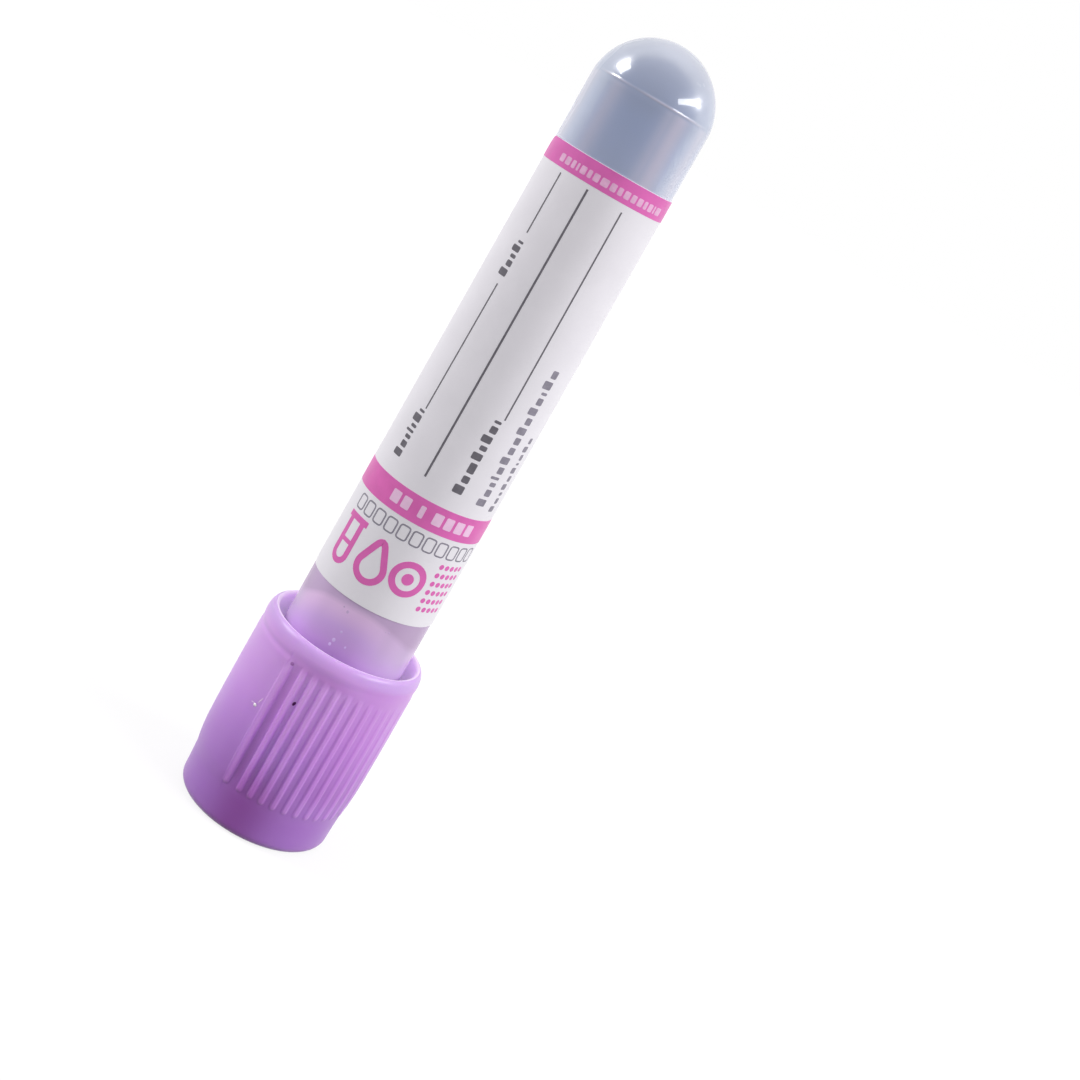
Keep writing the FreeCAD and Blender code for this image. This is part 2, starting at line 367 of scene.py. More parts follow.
def shield_plastic(name):
    """Translucent lavender polyethylene with painted light and shade: darker towards the closed end, where
    the stopper lies behind it, paler on the rib crests than in the grooves, and paler with a painted glow
    in the mouth.
    """
    material, nodes, links, shader = node_material(name)
    above_rim = 1.5
    height = along_tube(nodes, links, RIM_Z + above_rim, wander=0.10)
    wall = ramp(nodes, links, height, WALL_TINTS_AND_PAINTED_SHADE)
    wall = blend_by(nodes, links, "rib", wall, ramp(nodes, links, height, RIB_CREST_PAINTED_LIGHT))
    wall = blend_by(nodes, links, "mouth", wall, ramp(nodes, links, height, MOUTH_PAINTED_LIGHT_TINTS))
    # Painted shade: the base colour is multiplied down in the grooves, under the collar and on the closed
    # end's front.
    painted_shade_mix = nodes.new("ShaderNodeMix")
    painted_shade_mix.data_type = "RGBA"
    painted_shade_mix.blend_type = "MULTIPLY"
    painted_shade_mix.inputs["B"].default_value = (*PAINTED_SHADE_TINT, 1)
    links.new(stored_value(nodes, "painted_shade"), painted_shade_mix.inputs["Factor"])
    links.new(wall, painted_shade_mix.inputs["A"])
    links.new(painted_shade_mix.outputs["Result"], shader.inputs["Base Color"])
    shader.inputs["Roughness"].default_value = 0.36
    # Painted glow: the mouth's inside emits light in place of light that comes through the thin skirt.
    through = map_range(nodes, links, stored_value(nodes, "mouth"), 0.0, 1.0, 0.0, SKIRT_PAINTED_GLOW)
    links.new(through, shader.inputs["Emission Strength"])
    shader.inputs["Emission Color"].default_value = (0.86, 0.80, 0.90, 1)
    shader.inputs["Subsurface Weight"].default_value = SHIELD_GLOW
    shader.inputs["Subsurface Radius"].default_value = (1.0, 0.6, 1.2)
    shader.inputs["Subsurface Scale"].default_value = SHIELD_GLOW_MM * MM
    bump(nodes, links, noise(nodes, links, 3.0), shader, strength=0.25, distance_mm=0.01)
    return material


# Gloss coat of the tube, in its neck and beyond it.
TUBE_COAT = 0.0, 0.7
# Share of light let through: in the neck, and in the round end where it faces the eye and at its edges.
NECK_CLARITY = 0.05
DOME_CLARITY = 0.30, 0.24
# Least and greatest roughness of the tube.
HAZE = 0.16, 0.34
# Tints are (share of the height, colour), as along_tube counts it.
# The tube's tints paint light and shade: lavender in the neck for the shield seen through it, painted
# shade next to the rim, lighter higher up for light from the skirt's far wall, a painted shadow just under
# the label's edge, and blue-grey beyond for a darker surround seen through the tube.
TUBE_TINTS_AND_PAINTED_LIGHT = [
    (0.253, (0.54, 0.315, 0.69)),
    (0.262, (0.62, 0.370, 0.78)),
    (0.284, (0.75, 0.485, 0.94)),
    (0.300, (0.91, 0.62, 1.00)),
    (0.310, (0.95, 0.665, 1.00)),
    (0.316, (0.69, 0.500, 0.77)),
    (0.60, (0.585, 0.61, 0.79)),
    (0.92, (0.445, 0.52, 0.74)),
    (1.00, (0.40, 0.43, 0.55)),
]
# Second tints, for the streaks and the ledge line: darker in the neck, as painted shade on its sides, and
# paler beyond it, as a painted highlight on the ledge line and partly painted light along the streaks.
STREAK_TINTS_AND_PAINTED_LIGHT = [
    (0.262, (0.55, 0.390, 0.66)),
    (0.284, (0.63, 0.480, 0.73)),
    (0.308, (0.64, 0.485, 0.74)),
    (0.316, (0.55, 0.390, 0.61)),
    (0.60, (0.72, 0.68, 0.84)),
    (1.00, (0.66, 0.64, 0.78)),
]
# Share of light that scatters inside the shield's wall, and how far.
SHIELD_GLOW, SHIELD_GLOW_MM = 0.5, 1.2
# Painted glow inside the mouth, in place of the light that the thin skirt lets through.
SKIRT_PAINTED_GLOW = 0.20
# Painted shade by height: the wall darkens towards the closed end, where light from above falls off and
# the stopper lies behind it, and lightens up to the rim.
WALL_TINTS_AND_PAINTED_SHADE = [
    (0.10, (0.42, 0.18, 0.62)),
    (0.21, (0.43, 0.18, 0.63)),
    (0.395, (0.51, 0.23, 0.71)),
    (0.655, (0.68, 0.335, 0.88)),
    (0.925, (0.74, 0.41, 0.91)),
    (0.975, (0.60, 0.38, 0.78)),
]
# Paler tints on the rib crests, painted light against the grooves' darker tints.
RIB_CREST_PAINTED_LIGHT = [
    (0.24, (0.58, 0.27, 0.78)),
    (0.565, (0.68, 0.33, 0.88)),
    (0.935, (0.74, 0.41, 0.91)),
]
# Paler tints inside the mouth, painted light for what comes through the thin skirt.
MOUTH_PAINTED_LIGHT_TINTS = [
    (0.655, (0.80, 0.58, 0.89)),
    (0.935, (0.76, 0.58, 0.87)),
]
# What the base colour is multiplied by where shade is painted: in the wide and the shallow grooves, under
# the collar and on the closed end's front.
PAINTED_SHADE_TINT = 0.72, 0.38, 0.66
CLEAR = clear_plastic("tube_clear_plastic")
FILM_WHITE = surface_material("label_film_white", (0.90, 0.87, 0.93), 0.38, variation=0.012, grain=0.35)
MAGENTA = surface_material("ink_magenta", (0.78, 0.14, 0.50), 0.40, variation=0.04, grain=0.8)
INK_GREY = surface_material("ink_grey", (0.13, 0.12, 0.145), 0.5, variation=0.12, grain=2.0)
INK_SOFT = surface_material("ink_soft_grey", (0.26, 0.24, 0.30), 0.5, variation=0.1, grain=2.0)
INK_ROSE = surface_material("ink_rose", (0.90, 0.50, 0.76), 0.45, variation=0.08, grain=1.5)
INK_WHITE = surface_material("ink_white", (0.95, 0.62, 0.87), 0.45, variation=0.03, grain=1.5)
SHIELD = shield_plastic("shield_lavender")
RUBBER = surface_material("stopper_rubber", (0.30, 0.17, 0.38), 0.62, variation=0.06, grain=0.8)
DROPS = surface_material("dried_additive", (0.70, 0.52, 0.90), 0.3, variation=0.05, grain=3.0)
GRAINS = surface_material("dried_additive_grains", (0.60, 0.42, 0.70), 0.4, variation=0.1, grain=4.0)
SPECK = surface_material("dark_speck", (0.075, 0.004, 0.10), 0.9, variation=0.2, grain=4.0)
# A dimple drawn as a darker spot of painted shade, and a nick whose near-white is partly a painted glint.
DIMPLE_PAINTED_SHADE = surface_material("dimple_painted_shade", (0.40, 0.16, 0.50), 0.6, variation=0.1, grain=4.0)
NICK_WITH_PAINTED_GLINT = surface_material("nick_painted_glint", (1.0, 0.94, 1.0), 0.3, variation=0.02, grain=4.0)
SCRATCH = surface_material("pale_scratch", (0.88, 0.60, 0.98), 0.35, variation=0.04, grain=4.0)


# ---- Tube --------------------------------------------------------------------------------------------
ROUND = np.linspace(0, 360, 193)[:-1]


def round_end(wall_r, tip):
    """Centre height and radius of the round end tangent to a tapered wall."""
    length = tip - MOUTH_Z
    radius = (wall_r * math.cos(DRAFT) - length * math.sin(DRAFT)) / (1 - math.sin(DRAFT))
    return tip - radius, radius


# Height of the line that the core pin's ledge shows outside, and how far the line stands proud.
LEDGE_LINE_Z, LEDGE_LINE = 78.8, 0.03
# Where that line and its painted highlight fade, then the paler streaks beyond the neck, which are partly
# painted light, and the painted shade on the neck's sides: azimuth, half width and strength.
LEDGE_FADES = ((-14, 12, 0.7), (-60, 19, 0.95), (71, 20, 0.95), (150, 12, 0.6), (222, 14, 0.6))
PALE_STREAKS_AND_PAINTED_LIGHT = (
    (35, 9, 1.0), (24, 6, 0.5), (-29, 8, 0.6), (-67, 10, 0.7), (66, 9, 0.6), (88, 12, 0.7),
    (128, 8, 0.5), (165, 14, 0.8), (214, 9, 0.5), (243, 12, 0.9),
)
NECK_PAINTED_SHADE = ((62, 32, 1.0), (-75, 22, 1.0), (190, 40, 0.6))
# Millimetres by which the neck's tints sit lower at its sides than at its front, so that their painted
# shadow and painted light curve down at the sides.
NECK_SAG = 2.7


def marks_share(azimuths, marks):
    share = np.zeros_like(azimuths)
    for middle, half_width, strength in marks:
        share = np.maximum(share, strength * np.exp(-(turn_from(azimuths, middle) / half_width) ** 2))
    return share


def ledge_share(azimuths, heights):
    return np.exp(-((heights - LEDGE_LINE_Z) / 0.11) ** 2) * (1 - marks_share(azimuths, LEDGE_FADES))


def streak_and_painted_light_share(azimuths, heights):
    """Where the tube takes its second tints: a painted highlight on its ledge line, paler streaks that are
    partly painted light, and painted shade on the neck's sides.
    """
    in_neck = rise(heights, LABEL_Z + 5, LABEL_Z + 1)
    below_line = rise(heights, LEDGE_LINE_Z, LEDGE_LINE_Z - 0.4)
    streaks_and_painted_light = marks_share(azimuths, PALE_STREAKS_AND_PAINTED_LIGHT) * below_line * (1 - in_neck)
    # Painted shade on the neck's sides.
    neck = marks_share(azimuths, NECK_PAINTED_SHADE) * in_neck
    return np.maximum(ledge_share(azimuths, heights), np.maximum(streaks_and_painted_light, neck))


def make_tube():
    draft_deg = math.degrees(DRAFT)
    outer_z, outer_r = round_end(MOUTH_R, TIP_Z)
    core_z, core_r = round_end(MOUTH_R - TUBE_WALL - CORE_LEDGE, TIP_Z - BASE_WALL)
    ledge_z = core_z + core_r * math.sin(DRAFT)
    section = arc((0, outer_z), (outer_r, outer_r), 90, 11, 36)
    section += arc((0, outer_z), (outer_r, outer_r), 10.7, draft_deg, 36)
    section[0] = (0, TIP_Z)
    outer_count = len(section)
    bore_r = MOUTH_R - TUBE_WALL
    section += rounded_path([
        (*section[-1], 0),
        (MOUTH_R, MOUTH_Z, 0.2),
        (bore_r, MOUTH_Z, 0.2),
        (tube_r(ledge_z) - TUBE_WALL, ledge_z, 0.03),
        (core_r, ledge_z, 0),
    ], closed=False, steps=4)[1:-1]
    section += arc((0, core_z), (core_r, core_r), draft_deg, 90, 36)
    section[-1] = (0, TIP_Z - BASE_WALL)
    points, faces = lathe_to_axis(section, ROUND)
    azimuths, heights = np.degrees(np.arctan2(points[:, 0], -points[:, 1])), points[:, 2]
    column = np.append(np.arange(len(points) - 2) % (len(section) - 2), (0, 0))
    bead = LEDGE_LINE * ledge_share(azimuths, heights) * (column < outer_count - 1)
    points += on_ring(azimuths, bead, 0)
    piece = make_piece("tube_shell", points, faces, "tube", "clear_plastic", CLEAR)
    # Second tints: the ledge line's painted highlight, the partly painted streaks and the neck's painted
    # shade.
    store(piece, "streaks_and_painted_light", streak_and_painted_light_share(azimuths, heights))
    # The sag bends the neck's painted shadow and painted light down at its sides.
    in_neck = rise(heights, LABEL_Z + 10, LABEL_Z + 2)
    store(piece, "sag", NECK_SAG / TIP_Z * np.sin(np.radians(azimuths)) ** 2 * in_neck)
    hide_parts("tube")


# ---- Label and its print -----------------------------------------------------------------------------
def film_r(height):
    return tube_r(height) + FILM


def on_label(azimuths, heights, lift):
    """Points over the label's face; heights count from its lower edge."""
    z = LABEL_Z + np.asarray(heights, float)
    return on_ring(azimuths, film_r(z) + lift, z)


def label_columns():
    """Azimuths over the label with its lower and upper edge there, rounded at the corners."""
    corner = 1.2
    radius = film_r(LABEL_Z)
    near = corner * (1 - np.cos(np.linspace(0, np.pi / 2, 9)))
    span = math.radians(LABEL_END - LABEL_START) * radius
    along = np.concatenate([near, np.linspace(corner, span - corner, 141)[1:-1], span - near[::-1]])
    inset = np.maximum(0, corner - np.minimum(along, span - along))
    cut = corner - np.sqrt(corner ** 2 - inset ** 2)
    return LABEL_START + np.degrees(along / radius), cut, LABEL_TOP_Z - LABEL_Z - cut


def make_label():
    azimuths, bottom, top = label_columns()
    heights = bottom[:, None] + (top - bottom)[:, None] * np.linspace(0, 1, 25)
    azimuths = np.broadcast_to(azimuths[:, None], heights.shape)
    glue_gap = 0.01
    piece = make_piece(
        "label_film", *slab(on_label(azimuths, heights, 0), on_label(azimuths, heights, glue_gap - FILM)),
        "tube", "label_film", FILM_WHITE,
    )
    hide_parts("label")


INK_TOP, INK_ROOT, OVERPRINT = 0.010, -0.02, 0.006
INK_EDGE = 0.05


def inked(azimuths, heights, lift=0.0, wrap=False):
    """Thin closed print over a grid of places on the label."""
    return slab(on_label(azimuths, heights, INK_TOP + lift), on_label(azimuths, heights, INK_ROOT), wrap)


def degrees_of(length, height):
    """Turn that a length measured round the label spans."""
    return np.degrees(length / film_r(LABEL_Z + height))


def band(low, high):
    """Print across the whole label, cut to its rounded corners."""
    azimuths, bottom, top = label_columns()
    bottom, top = np.maximum(bottom + INK_EDGE, low), np.minimum(top - INK_EDGE, high)
    kept = top - bottom > 0.3
    share = np.linspace(0, 1, 4)
    heights = bottom[kept, None] + (top - bottom)[kept, None] * share
    return inked(np.broadcast_to(azimuths[kept, None], heights.shape), heights)


def block(azimuth, height, across, along, rounding=0.12, lift=0.0):
    """Filled rounded rectangle: across is measured round the tube, along up its axis."""
    rounding = min(rounding, across / 2, along / 2)
    x = np.concatenate([rounding * (1 - np.cos(np.linspace(0, np.pi / 2, 5))), [across / 2]])
    x = np.concatenate([x, across - x[-2::-1]])
    inset = np.maximum(0, rounding - np.minimum(x, across - x))
    cut = rounding - np.sqrt(np.maximum(0, rounding ** 2 - inset ** 2))
    half = np.maximum(along / 2 - cut, 0.02)
    share = np.linspace(-1, 1, max(2, math.ceil(along / 2) + 1))
    heights = height + half[:, None] * share
    azimuths = azimuth + degrees_of(x - across / 2, height)
    return inked(np.broadcast_to(azimuths[:, None], heights.shape), heights, lift)


def stroke(points, width, closed=False):
    """Line of one width through points (distance round the tube from azimuth 0, height)."""
    path = np.array(densify([tuple(p) for p in points], 0.3, closed))
    if closed:
        step = np.roll(path, -1, axis=0) - np.roll(path, 1, axis=0)
    else:
        step = np.gradient(path, axis=0)
    normal = np.stack([-step[:, 1], step[:, 0]], -1)
    normal /= np.linalg.norm(normal, axis=1)[:, None]
    sides = np.stack([path - normal * width / 2, path + normal * width / 2], 1)
    return inked(degrees_of(sides[..., 0], path[:, 1].mean()), sides[..., 1], wrap=closed)


def rule(bottom, top, width):
    """Straight line between two places (azimuth, height)."""
    mean = (bottom[1] + top[1]) / 2
    scale = math.radians(1) * film_r(LABEL_Z + mean)
    return stroke([(bottom[0] * scale, bottom[1]), (top[0] * scale, top[1])], width)


MARK_HEIGHTS = (1.0, 0.7, 0.7, 1.0, 0.7)


def word(azimuth, low, high, size, widths):
    """Placeholder for a word that runs up the tube: small plain marks on one base line."""
    gap = 0.45
    unit = (high - low) / (sum(widths) + gap * (len(widths) - 1))
    marks, height = [], low
    for i, width in enumerate(widths):
        tall = size * MARK_HEIGHTS[i % len(MARK_HEIGHTS)]
        base = azimuth + degrees_of((size - tall) / 2, height)
        marks.append(block(base, height + width * unit / 2, tall, width * unit, 0.14))
        height += (width + gap) * unit
    return marks


def row(start, end, height, size, widths, shape=block, **how):
    """Placeholder for a word that runs round the tube; a negative width is a space."""
    gap = 0.35
    unit = (end - start) / (sum(map(abs, widths)) + gap * (len(widths) - 1))
    marks, azimuth = [], start
    millimetre = degrees_of(1, height)
    for width in widths:
        if width > 0:
            place = (azimuth + width * unit / 2, height, width * unit / millimetre, size)
            marks.append(shape(*place, **how))
        azimuth += (abs(width) + gap) * unit
    return marks


def box_outline(azimuth, height, across, along):
    """Thin empty box, as a form has for one character."""
    centre = azimuth / degrees_of(1, height)
    corners = [(centre + sx * across / 2, height + sy * along / 2, 0.3)
               for sx, sy in ((-1, -1), (1, -1), (1, 1), (-1, 1))]
    return stroke(rounded_path(corners, closed=True, steps=4), 0.15, closed=True)


def tube_icon(centre, middle, width):
    """Outline of a test tube with its rim and its filling level."""
    half, top = 0.85, middle + 2.1
    body = [(centre - half, top)] + arc((centre, middle - 1.25), (half, half), -180, 0, 12)
    return [
        stroke(body + [(centre + half, top)], width),
        stroke([(centre - half - 0.6, top + width / 2), (centre + half + 0.6, top + width / 2)], width),
        stroke([(centre - half, middle), (centre + half, middle)], width * 0.7),
    ]


def drop_icon(centre, middle, width):
    """Outline of a drop, its point up."""
    corners = [(centre + 1.1, middle, 0), (centre, middle + 2.7, 0.9), (centre - 1.1, middle, 0)]
    tip = rounded_path(corners, closed=False)
    belly = arc((centre, middle - 0.75), (1.35, 1.35), -205, 25, 24)
    return [stroke(belly + tip[1:-1], width, closed=True)]


def ring_icon(centre, middle, width):
    """Ring with a round spot in it."""
    ring = arc((centre, middle), (1.5, 1.5), 0, 345, 28)
    spot = block(degrees_of(centre, middle), middle, 1.2, 1.2, 0.6)
    return [stroke(ring, width, closed=True), spot]


def make_print():
    """Icons, bands, rules and placeholder words; heights count from the label's lower edge."""
    middle = 4.3
    scale = math.radians(1) * film_r(LABEL_Z + middle)
    magenta = [band(9.39, 11.95), band(43.69, LABEL_TOP_Z - LABEL_Z)]
    magenta += tube_icon(-42 * scale, middle, 0.6)
    magenta += drop_icon(-9 * scale, middle, 0.65)
    magenta += ring_icon(24 * scale, middle, 0.65)
    for column in range(5):
        for line in range(6):
            magenta.append(block(47.5 + 6.6 * column, 1.9 + 0.93 * line, 0.55, 0.55, 0.275))
    make_piece("print_magenta", *joined(magenta), "tube", "label_film", MAGENTA)

    grey = [
        rule((-34.95, 37.28), (-34.9, 43.3), 0.15),
        rule((-36.6, 18.95), (-35.6, 32.1), 0.15),
        rule((-6.27, 13.74), (-6.0, 43.26), 0.2),
        rule((29.25, 21.78), (28.2, 43.0), 0.15),
    ]
    grey += word(-37.0, 32.9, 36.4, 0.95, (1.2, 1, 0.6, 1, 0.4))
    grey += word(-40.5, 13.8, 18.7, 1.05, (1.1, 1, 0.6, 0.4, 0.5, 1.2, 0.4))
    grey += word(23.5, 13.75, 21.5, 1.05, (1.2, 1, 1.5, 1, 0.7, 1, 1, 0.4))
    make_piece("print_rules", *joined(grey), "tube", "label_film", INK_GREY)

    code = word(50.3, 13.4, 27.8, 1.1, (1, 1, 0.6, 0.4, 1, 1, 1, 1, 1, 1, 1, 1, 0.4, 1.1, 1.1))
    code += word(69.0, 13.0, 21.0, 0.8, (1, 1, 0.6, 1, 1, 1, 0.4, 1, 1, 1))
    code += row(-53, 80, 8.15, 1.4, (1,) * 11, box_outline)
    make_piece("print_codes", *joined(code), "tube", "label_film", INK_SOFT)

    widths = (1, 1, 0.7, 0.4, 1, 0.7, 1, 1.3, 1, 0.8, 1, 0.9, 1, 0.7, 1, 0.4, 1.4)
    rose = row(-44, 68, 44.5, 0.72, widths, lift=OVERPRINT)
    make_piece("print_rose", *joined(rose), "tube", "label_film", INK_ROSE)

    white = row(-24, 58, 10.7, 1.2, (1.1, 1, -0.4, 0.6, -0.4, 1.1, 1, 1.1, 1), lift=OVERPRINT)
    make_piece("print_white", *joined(white), "tube", "label_film", INK_WHITE)


# ---- Stopper -----------------------------------------------------------------------------------------
def make_stopper():
    plug_length, nose_taper, nose_height, ring_height, relief = 6.5, 0.4, 1.0, 1.5, 0.35
    cavity_r, cavity_depth = 3.0, 4.5
    ring_clearance = 0.05
    ring_r = tube_r(NOSE_Z) - TUBE_WALL - ring_clearance
    relief_r = ring_r - relief
    head_z = NOSE_Z - plug_length
    floor_z = NOSE_Z - cavity_depth
    upper_z = NOSE_Z - nose_height
    section = rounded_path([
        (0, floor_z, 0),
        (cavity_r, floor_z, 0.8),
        (cavity_r, NOSE_Z, 0.2),
        (ring_r - nose_taper, NOSE_Z, 0.25),
        (ring_r, upper_z, 0.4),
        (ring_r, upper_z - ring_height, 0.3),
        (relief_r, upper_z - ring_height - relief, 0.3),
        (relief_r, head_z + ring_height + relief, 0.3),
        (ring_r, head_z + ring_height, 0.3),
        (ring_r, head_z, 0.15),
        (HEAD_R, head_z, 0.45),
        (HEAD_R, END_WALL, 0.15),
        (WELL_R, END_WALL, 0.05),
        (WELL_R, WELL_TOP_Z, 0.25),
        (0, WELL_TOP_Z, 0),
    ], closed=False)
    piece = make_piece("stopper_rubber", *lathe_to_axis(section, ROUND[::2]), "closure", "rubber", RUBBER)
    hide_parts("stopper")


# ---- Shield ------------------------------------------------------------------------------------------
# Two groups of ribs: degrees between the fine ribs, and from the last of them to the edge rib.
RIB_PITCH, EDGE_PITCH = 8.65, 11.8
FINE_RIBS = 10
GROUP_CENTRES = (29.2, 209.2)
HALF_GROUP = RIB_PITCH * (FINE_RIBS - 1) / 2 + EDGE_PITCH
# Widths of the ribs' crests and of the flanks at their sides.
FINE_CREST, EDGE_CREST, FLANK = 0.26, 0.45, 0.28
RIB_FOOT, RIB_TOP = 4.75, 18.43
# Painted shade on the closed end's front, which the side lamps light least: azimuth, half width and
# strength.
FRONT_PAINTED_SHADE = ((-3, 22, 1.0),)
# The shield's outside as (height, radius): on the smooth panels, on the crests and in the grooves.
PANEL_OUTLINE = (
    (0.95, 7.9), (2.4, 7.94), (3.9, 8.0), (4.6, 8.11), (5.4, 8.215), (6.5, 8.30), (8.5, 8.345),
    (11.0, 8.35), (13.5, 8.345), (16.0, 8.325), (18.2, 8.30), (19.6, 8.295),
)
CREST_OUTLINE = (
    (3.9, 8.14), (5.0, 8.2), (6.5, 8.3), (8.5, 8.345), (13.5, 8.345), (17.0, 8.31), (17.8, 8.265),
    (18.5, 8.205), (18.9, 8.215), (19.3, 8.27), (19.6, 8.295),
)
GROOVE_OUTLINE = (0.95, 7.9), (2.4, 7.94), (3.9, 7.99), (17.2, 7.99), (17.8, 8.06), (18.5, 8.18)
# Dip of each panel beside the edge ribs, and the line round the panels' upper end.
VALLEY_DEPTH = 0.08
COLLAR_LINE, COLLAR_LINE_DEPTH = 18.78, 0.09
SHOULDER_Z = 19.55
SHOULDER_STEPS = 12
SKIRT_BORE_R, END_R, END_EDGE = 7.4, 7.9, 0.95


def rib_share(azimuths, heights):
    """1 on the ribs' crests and on the collar, 0 in the grooves and below the ribs' round feet."""
    places = [(-HALF_GROUP, EDGE_CREST), (HALF_GROUP, EDGE_CREST)]
    places += [(RIB_PITCH * (i - (FINE_RIBS - 1) / 2), FINE_CREST) for i in range(FINE_RIBS)]
    share = rise(heights, RIB_TOP - 0.2, RIB_TOP + 0.4) + np.zeros_like(azimuths)
    for middle in GROUP_CENTRES:
        for place, crest in places:
            across = np.radians(turn_from(azimuths, middle + place)) * PANEL_R
            reach = np.hypot(across, np.minimum(heights - RIB_FOOT, 0))
            share = np.maximum(share, rise(reach, crest / 2 + FLANK, crest / 2))
    return share


def beyond_group(azimuths):
    """Degrees past the edge ribs of the nearest rib group."""
    nearest = np.min([np.abs(turn_from(azimuths, middle)) for middle in GROUP_CENTRES], axis=0)
    return nearest - HALF_GROUP


def panel_share(azimuths):
    """1 over the two smooth panels, 0 between the edge ribs of a group."""
    return rise(beyond_group(azimuths), 0, 2.0)


def groove_depth(azimuths):
    """Share of the grooves' full depth: they start deep and get shallow towards each group's other end."""
    first, second = [turn_from(azimuths, middle) for middle in GROUP_CENTRES]
    along_group = np.where(np.abs(first) < np.abs(second), first, second)
    fade_deg, least = 81, 0.2
    return np.clip(0.5 - along_group / fade_deg, least, 1)


def painted_shade_share(azimuths, heights):
    """Painted shade in wide and in shallow grooves, over the ribs' upper ends under the collar and on the
    closed end's front.
    """
    beside = HALF_GROUP - EDGE_PITCH / 2
    places = [middle + side * beside for middle in GROUP_CENTRES for side in (-1, 1)]
    grooves = marks_share(azimuths, [(place, 4.0, 1.0) for place in places])
    grooves = grooves * (0.36 + 0.34 * rise(heights, 11, 5)) * groove_depth(azimuths)
    grooves = grooves * rise(heights, RIB_FOOT - 1, RIB_FOOT + 1) * rise(heights, RIB_TOP + 0.6, RIB_TOP)
    front_shade = marks_share(azimuths, FRONT_PAINTED_SHADE) * rise(heights, 10, 3)
    # Painted shade under the collar, over the front of the ribs' upper ends.
    over_ribs = marks_share(azimuths, [(middle - 26, 34, 0.42) for middle in GROUP_CENTRES])
    over_ribs = over_ribs * np.exp(-((heights - 18.6) / 0.7) ** 2)
    # Painted shade over the shallow grooves.
    shallow = 0.3 * rise(groove_depth(azimuths), 0.8, 0.3) * rise(beyond_group(azimuths), 20, 0)
    shallow = shallow * rise(heights, RIB_FOOT, RIB_FOOT + 3)
    shallow = shallow * rise(heights, SHOULDER_Z + 0.4, SHOULDER_Z - 0.4)
    return np.max([grooves, front_shade, over_ribs, shallow], axis=0)


def shield_r(azimuths, heights):
    """Radius of the shield's outside between its end band and its collar."""
    panel = np.interp(heights, *zip(*PANEL_OUTLINE))
    crest = np.interp(heights, *zip(*CREST_OUTLINE))
    floor = np.interp(heights, *zip(*GROOVE_OUTLINE))
    floor = floor + (panel - floor) * (1 - groove_depth(azimuths))
    ribbed = floor + (np.maximum(crest, floor) - floor) * rib_share(azimuths, heights)
    beyond = beyond_group(azimuths)
    valley = VALLEY_DEPTH * rise(beyond, 1.2, 3) * rise(beyond, 14, 4)
    valley = valley * rise(heights, RIB_FOOT, RIB_FOOT + 2) * rise(heights, RIB_TOP, RIB_TOP - 1.5)
    smooth_wall = floor + (panel - valley - floor) * panel_share(azimuths)
    line = COLLAR_LINE_DEPTH * np.exp(-((heights - COLLAR_LINE) / 0.3) ** 2) * panel_share(azimuths)
    return np.maximum(ribbed, smooth_wall) - line


def shield_azimuths():
    """Columns close together over the rib groups and wider apart over the smooth panels."""
    half = HALF_GROUP + 5
    rib_columns, panel_columns = 310, 30
    columns = []
    for middle in GROUP_CENTRES:
        columns.append(np.linspace(middle - half, middle + half, rib_columns))
        columns.append(np.linspace(middle + half, middle + 180 - half, panel_columns)[1:-1])
    return np.concatenate(columns)


